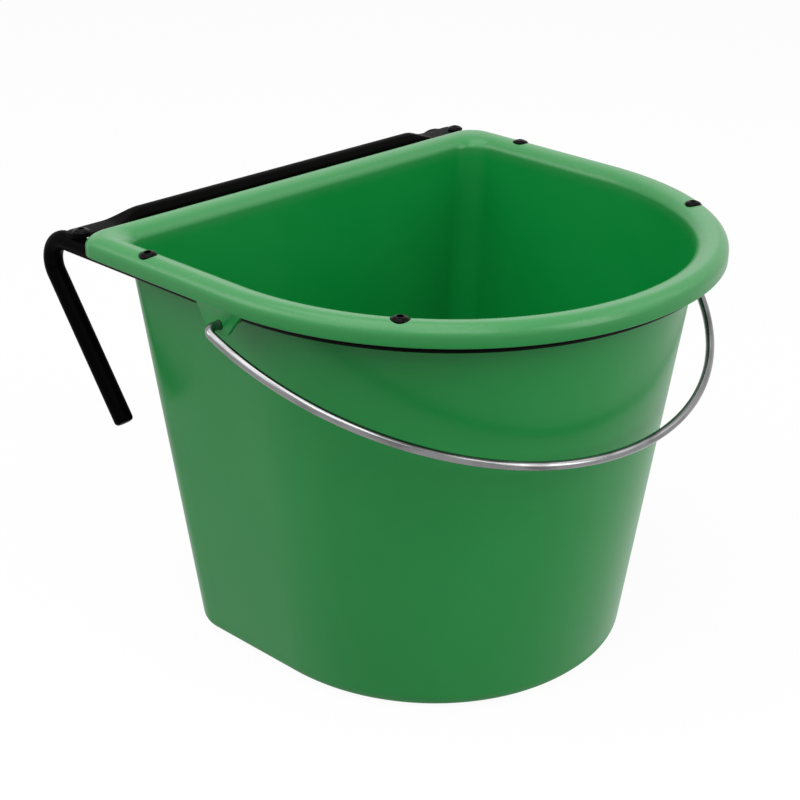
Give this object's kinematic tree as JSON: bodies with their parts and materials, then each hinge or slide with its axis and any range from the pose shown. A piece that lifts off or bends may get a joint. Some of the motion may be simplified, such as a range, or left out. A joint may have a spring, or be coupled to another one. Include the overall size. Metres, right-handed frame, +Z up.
{
  "type": "hanging feed trough",
  "caption": "Moulded feed tub with a straight back and round front, held by a steel bar frame with two over-rail hooks, with a swinging wire bail handle.",
  "frame": {"origin": "on the tub's flat base, on the vertical axis that the round front is drawn about", "axes": "+Z up; -Y towards the round front, +Y towards the straight back and the hooks; +X to the right seen from the front"},
  "size_m": [0.375, 0.3487, 0.2734],
  "materials": {
    "green_plastic": "semi-gloss moulded polyethylene, mid green",
    "black_steel": "satin black coated steel",
    "grey_steel": "dark grey coated steel tube",
    "bright_wire": "bright drawn steel wire"
  },
  "bodies": {
    "trough": {"tub": "green_plastic", "hanger_frame": "black_steel", "back_bar": "grey_steel", "rim_bolt_front_left": "black_steel", "rim_bolt_front_right": "black_steel", "rim_bolt_side_left": "black_steel", "rim_bolt_side_right": "black_steel", "corner_bolt_left": "black_steel", "corner_bolt_right": "black_steel"},
    "handle": {"bail": "bright_wire"}
  },
  "joints": [
    {"name": "bail_hinge", "type": "hinge", "parent": "trough", "child": "handle", "pos_m": [0, 0.002, 0.24975], "axis": [-1, 0, 0], "range_deg": [-11, 180]}
  ]
}
